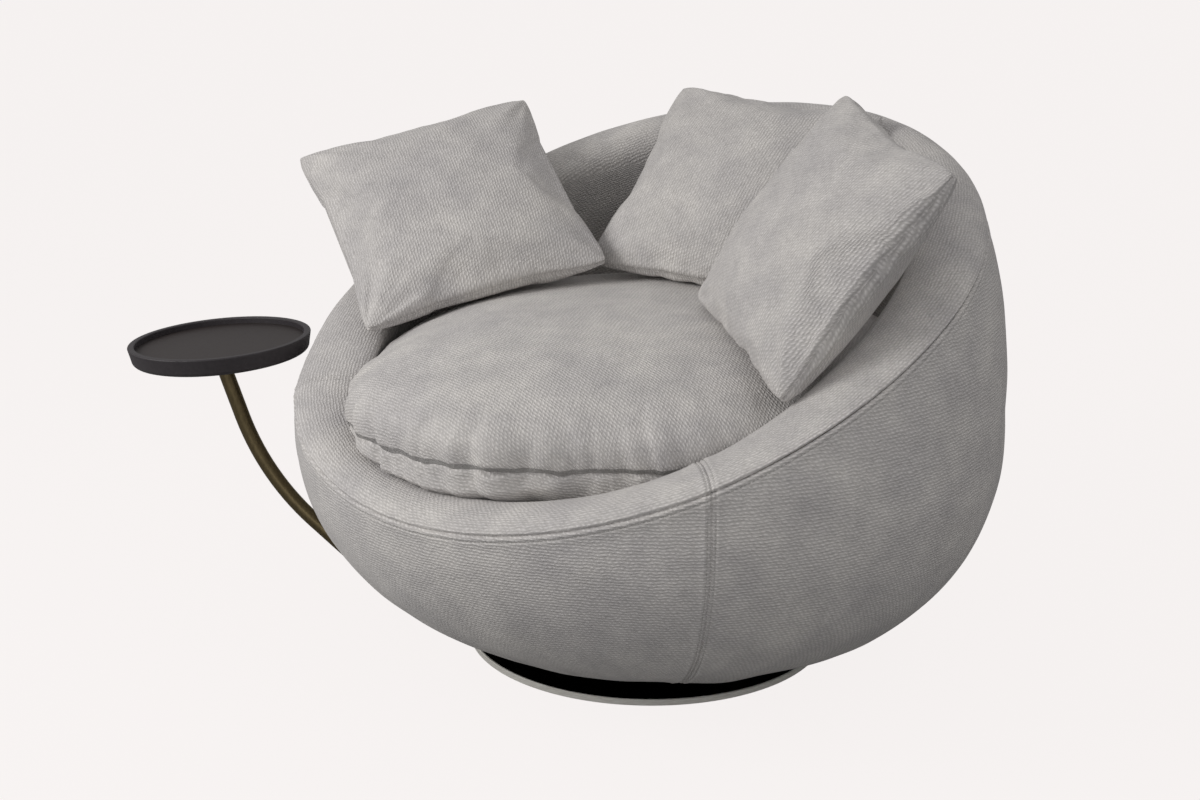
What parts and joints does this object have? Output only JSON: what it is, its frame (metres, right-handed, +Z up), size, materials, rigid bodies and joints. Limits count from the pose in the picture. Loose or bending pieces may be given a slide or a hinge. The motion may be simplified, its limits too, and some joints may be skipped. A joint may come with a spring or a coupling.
{
  "type": "cuddle chair",
  "caption": "Round barrel-shaped upholstered swivel chair with an overstuffed round seat cushion, loose scatter cushions and a small round tray on a bent arm that swings round the base.",
  "frame": {"origin": "centre of the round base on the floor, on the swivel axis", "axes": "+Z up along the swivel axis, -Y towards the front of the seat, +X to the right hand side of a viewer who faces the front"},
  "size_m": [1.3463, 1.1354, 0.8975],
  "materials": {
    "upholstery": "woven warm grey, soft nap",
    "padding": "open foam and fibre filling",
    "dust_cloth": "black non-woven cloth",
    "webbing": "elastic webbing",
    "frame_wood": "bare plywood and beech",
    "base_plate_steel": "dark polished",
    "trim_ring_steel": "brushed bright",
    "zinc_steel": "zinc plated",
    "arm_bronze": "satin bronze",
    "arm_hub": "satin black",
    "bearing_plastic": "plain bearing plastic",
    "glide_rubber": "soft black pads",
    "tray_shell": "matt charcoal brown",
    "tray_top": "matt dark brown"
  },
  "bodies": {
    "base": {"floor_glides": "glide_rubber", "base_plate": "base_plate_steel", "base_trim_ring": "trim_ring_steel", "column": "base_plate_steel", "swivel_lower_race": "zinc_steel", "swivel_balls": "zinc_steel"},
    "tray_arm": {"arm_collar": "arm_hub", "arm_bush": "bearing_plastic", "arm_tube": "arm_bronze", "arm_head": "arm_bronze", "tray_flange": "arm_bronze", "tray_screws": "zinc_steel", "tray_body": "tray_shell", "tray_inlay": "tray_top"},
    "scatter_left": {"scatter_left_back_panel": "upholstery", "scatter_left_filling": "padding", "scatter_left_front_panel": "upholstery"},
    "scatter_back": {"scatter_back_back_panel": "upholstery", "scatter_back_filling": "padding", "scatter_back_front_panel": "upholstery"},
    "scatter_right": {"scatter_right_back_panel": "upholstery", "scatter_right_filling": "padding", "scatter_right_front_panel": "upholstery"},
    "seat": {"arm_pivot_drum": "arm_hub", "arm_retaining_clip": "zinc_steel", "arm_thrust_washer": "bearing_plastic", "base_board": "frame_wood", "deck_cloth": "upholstery", "deck_foam": "padding", "deck_ring": "frame_wood", "drum_screws": "zinc_steel", "dust_cover": "dust_cloth", "foot_hoop": "frame_wood", "frame_ribs": "frame_wood", "inner_cover": "upholstery", "inner_foam": "padding", "outer_cover_back": "upholstery", "outer_cover_front": "upholstery", "outer_foam": "padding", "rim_cover": "upholstery", "rim_foam": "padding", "rim_hoop": "frame_wood", "seat_cushion_border": "upholstery", "seat_cushion_bottom_panel": "upholstery", "seat_cushion_core": "padding", "seat_cushion_top_panel": "upholstery", "swivel_screws": "zinc_steel", "swivel_upper_race": "zinc_steel", "webbing_crosswise": "webbing", "webbing_lengthwise": "webbing"}
  },
  "joints": [
    {"name": "seat_swivel", "type": "hinge", "parent": "base", "child": "seat", "pos_m": [0, 0, 0.096], "axis": [0, 0, 1], "continuous": true},
    {"name": "tray_arm_swing", "type": "hinge", "parent": "seat", "child": "tray_arm", "pos_m": [0, 0, 0.056], "axis": [0, 0, 1], "range_deg": [-59, 181]},
    {"name": "scatter_left_lift", "type": "slide", "parent": "seat", "child": "scatter_left", "axis": [0, 0, 1], "range_m": [0, 0.25]},
    {"name": "scatter_back_lift", "type": "slide", "parent": "seat", "child": "scatter_back", "axis": [0, 0.1961, 0.9806], "range_m": [0, 0.25]},
    {"name": "scatter_right_lift", "type": "slide", "parent": "seat", "child": "scatter_right", "axis": [0, 0, 1], "range_m": [0, 0.25]}
  ]
}
